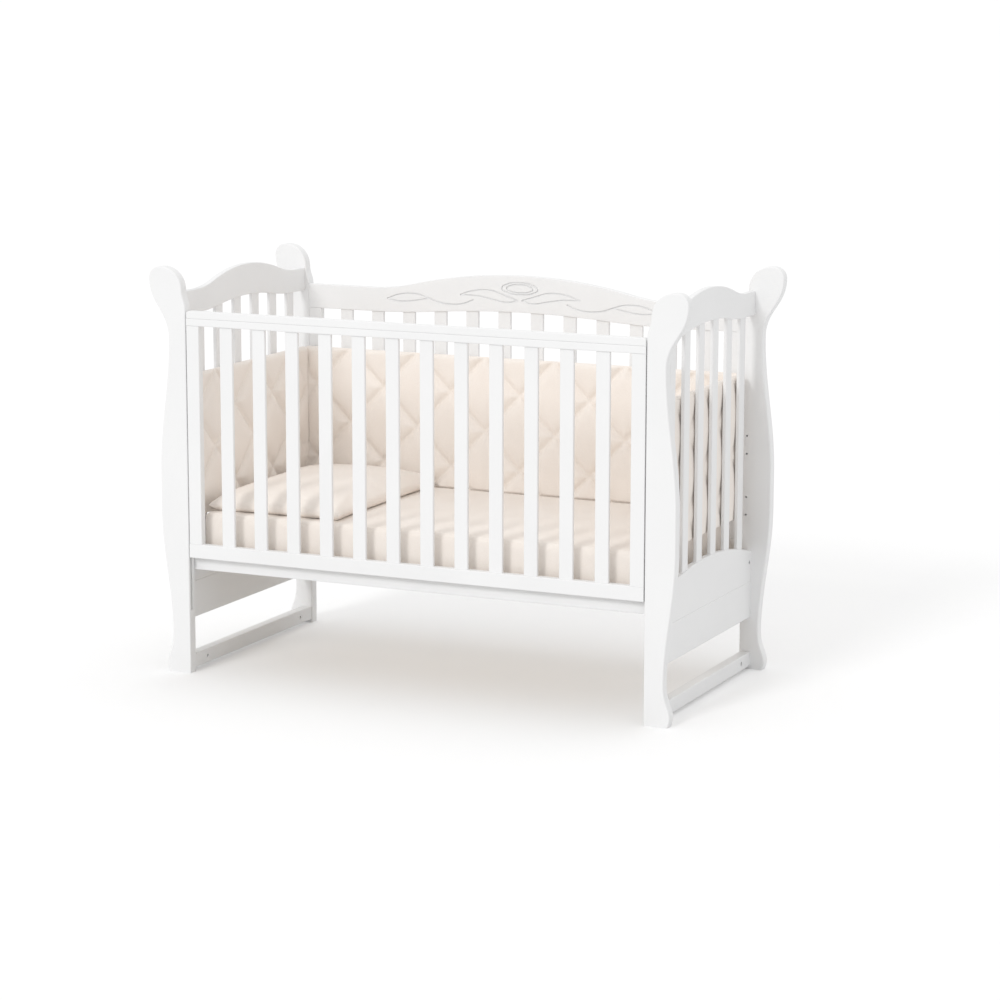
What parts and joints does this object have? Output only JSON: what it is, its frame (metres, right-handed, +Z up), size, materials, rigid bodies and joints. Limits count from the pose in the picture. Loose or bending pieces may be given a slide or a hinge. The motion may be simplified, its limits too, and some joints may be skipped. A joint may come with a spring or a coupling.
{
  "type": "crib",
  "caption": "Slatted crib with scrolled posts, arched ends, a drop side on spring catches, a slatted bed base, mattress, quilted bumpers and pillow.",
  "frame": {"origin": "centre of the footprint on the floor", "axes": "+X along the length to the right as seen from the drop side, +Y from the drop side to the back, +Z up"},
  "size_m": [1.457, 0.682, 1.042],
  "materials": {
    "white_wood": "satin white paint",
    "base_wood": "bare planed pine",
    "dowel_wood": "bare beech",
    "white_plastic": "matte",
    "zinc_steel": "zinc plated",
    "mattress_cloth": "woven cotton cover",
    "bumper_cloth": "quilted cotton",
    "pillow_cloth": "soft cotton"
  },
  "bodies": {
    "frame": {"back_bottom_rail": "white_wood", "back_bumper": "bumper_cloth", "back_crest_rail": "white_wood", "back_left_post": "white_wood", "back_left_stile": "white_wood", "back_right_post": "white_wood", "back_right_stile": "white_wood", "back_side_bolts": "zinc_steel", "back_slats": "white_wood", "base_back_rail": "base_wood", "base_barrel_nuts": "zinc_steel", "base_bolts": "zinc_steel", "base_front_rail": "base_wood", "base_left_end_rail": "base_wood", "base_right_end_rail": "base_wood", "base_slats": "base_wood", "end_frame_dowels": "dowel_wood", "front_left_post": "white_wood", "front_right_post": "white_wood", "left_bumper": "bumper_cloth", "left_end_lower_board": "white_wood", "left_end_slats": "white_wood", "left_end_top_rail": "white_wood", "left_end_upper_board": "white_wood", "left_floor_stretcher": "white_wood", "left_guide_channel": "white_plastic", "mattress": "mattress_cloth", "pillow": "pillow_cloth", "right_bumper": "bumper_cloth", "right_end_lower_board": "white_wood", "right_end_slats": "white_wood", "right_end_top_rail": "white_wood", "right_end_upper_board": "white_wood", "right_floor_stretcher": "white_wood", "right_guide_channel": "white_plastic", "threaded_inserts": "zinc_steel"},
    "drop_side": {"drop_side_top_rail": "white_wood", "drop_side_cap": "white_wood", "drop_side_bottom_rail": "white_wood", "drop_side_left_stile": "white_wood", "drop_side_right_stile": "white_wood", "drop_side_slat_01": "white_wood", "drop_side_slat_02": "white_wood", "drop_side_slat_03": "white_wood", "drop_side_slat_04": "white_wood", "drop_side_slat_05": "white_wood", "drop_side_slat_06": "white_wood", "drop_side_slat_07": "white_wood", "drop_side_slat_08": "white_wood", "drop_side_slat_09": "white_wood", "drop_side_slat_10": "white_wood", "drop_side_slat_11": "white_wood", "drop_side_slat_12": "white_wood", "upper_guide_pins": "zinc_steel", "catch_bushes": "white_plastic", "catch_springs": "zinc_steel"},
    "left_catch": {"left_catch_bolt": "zinc_steel"},
    "right_catch": {"right_catch_bolt": "zinc_steel"}
  },
  "joints": [
    {"name": "drop_side_slide", "type": "slide", "parent": "frame", "child": "drop_side", "axis": [0, 0, 1], "range_m": [-0.15, 0]},
    {"name": "left_catch_slide", "type": "slide", "parent": "drop_side", "child": "left_catch", "axis": [-1, 0, 0], "range_m": [-0.008, 0], "stiffness_N_per_m": 300, "springref_m": 0.006},
    {"name": "right_catch_slide", "type": "slide", "parent": "drop_side", "child": "right_catch", "axis": [1, 0, 0], "range_m": [-0.008, 0], "stiffness_N_per_m": 300, "springref_m": 0.006}
  ]
}
